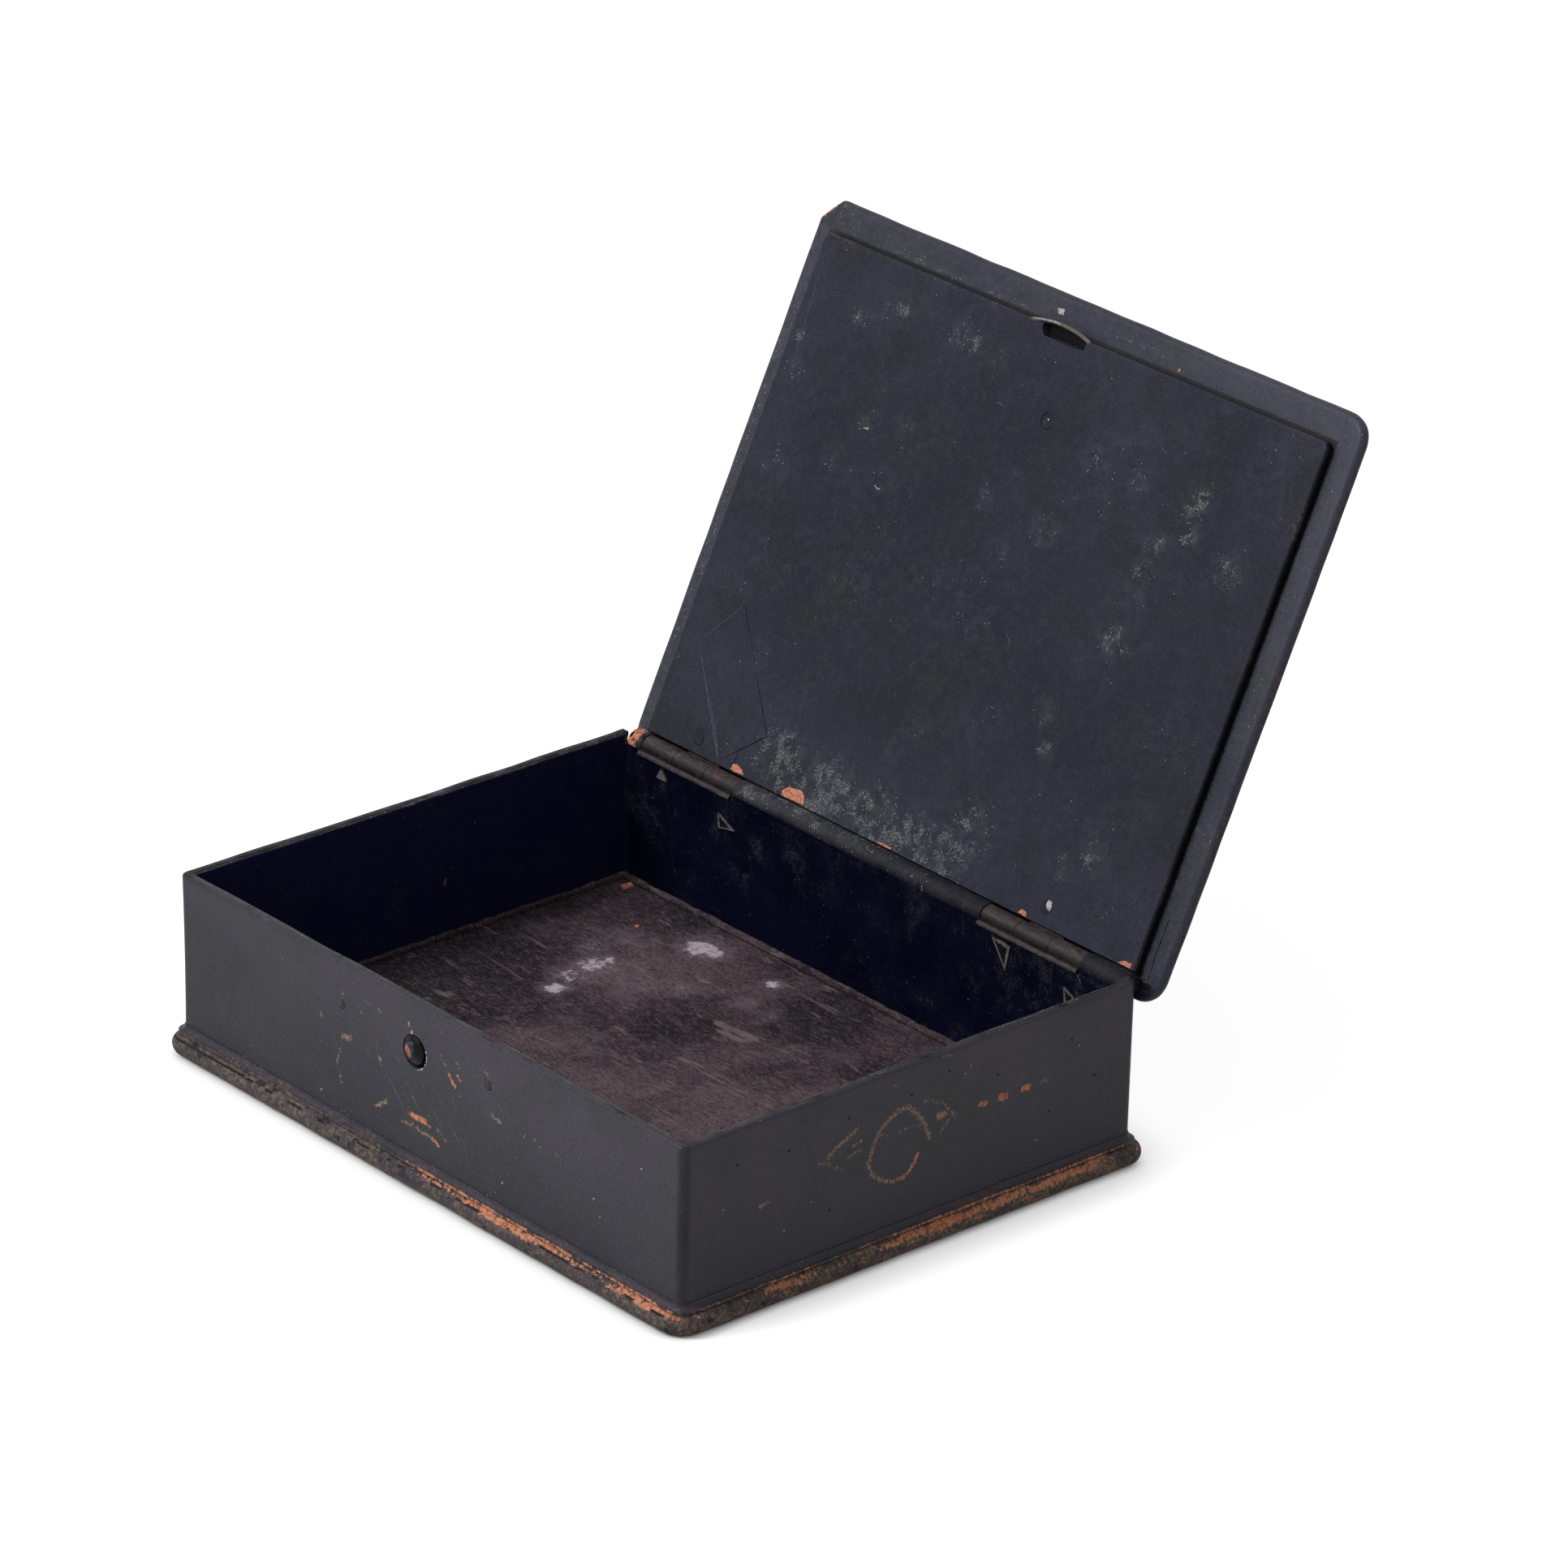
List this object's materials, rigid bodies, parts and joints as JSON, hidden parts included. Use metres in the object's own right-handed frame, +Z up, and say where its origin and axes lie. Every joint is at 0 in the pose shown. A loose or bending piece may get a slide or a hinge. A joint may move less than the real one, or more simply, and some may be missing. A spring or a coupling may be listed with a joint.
{
  "type": "trinket box",
  "caption": "Oblong black lacquered trinket box with a hinged lid standing open, a raised panel under the lid, a moulded base and a push-button spring catch.",
  "frame": {"origin": "centre of the base board's underside, which is the surface the box rests on", "axes": "+Z up, -Y towards the push button's side, +X to the right as seen from the button's side"},
  "size_m": [0.1494, 0.1629, 0.1348],
  "materials": {
    "outer_lacquer": "satin black lacquer over layered paper board, worn through to brown",
    "floor_paper": "matte dark purplish-brown lining",
    "wall_paper": "matte dark navy lining",
    "hinge_metal": "blackened metal, dull brown where worn",
    "steel": "dull, tarnished",
    "button_black": "black, a little glossy"
  },
  "bodies": {
    "box": {"base_board": "outer_lacquer", "plinth_board": "outer_lacquer", "wall_frame": "outer_lacquer", "floor_lining": "floor_paper", "rear_lining": "wall_paper", "rear_rail_left": "outer_lacquer", "rear_rail_middle": "outer_lacquer", "rear_rail_right": "outer_lacquer", "left_hinge_case_leaf": "hinge_metal", "left_hinge_pin": "steel", "right_hinge_case_leaf": "hinge_metal", "right_hinge_pin": "steel", "leaf_spring": "steel", "spring_pins": "hinge_metal"},
    "lid": {"lid_board": "outer_lacquer", "lid_panel": "outer_lacquer", "keeper_bar": "steel", "left_hinge_lid_leaf": "hinge_metal", "right_hinge_lid_leaf": "hinge_metal", "lid_leaf_rivets": "hinge_metal"},
    "catch": {"push_button": "button_black", "catch_hook": "steel"}
  },
  "joints": [
    {"name": "lid_hinge", "type": "hinge", "parent": "box", "child": "lid", "pos_m": [0, 0.0546, 0.0348], "axis": [1, 0, 0], "range_deg": [0, 115]},
    {"name": "button_press", "type": "slide", "parent": "box", "child": "catch", "axis": [0, 1, 0], "range_m": [0, 0.0014], "stiffness_N_per_m": 2000, "deforming": ["leaf_spring"]}
  ]
}
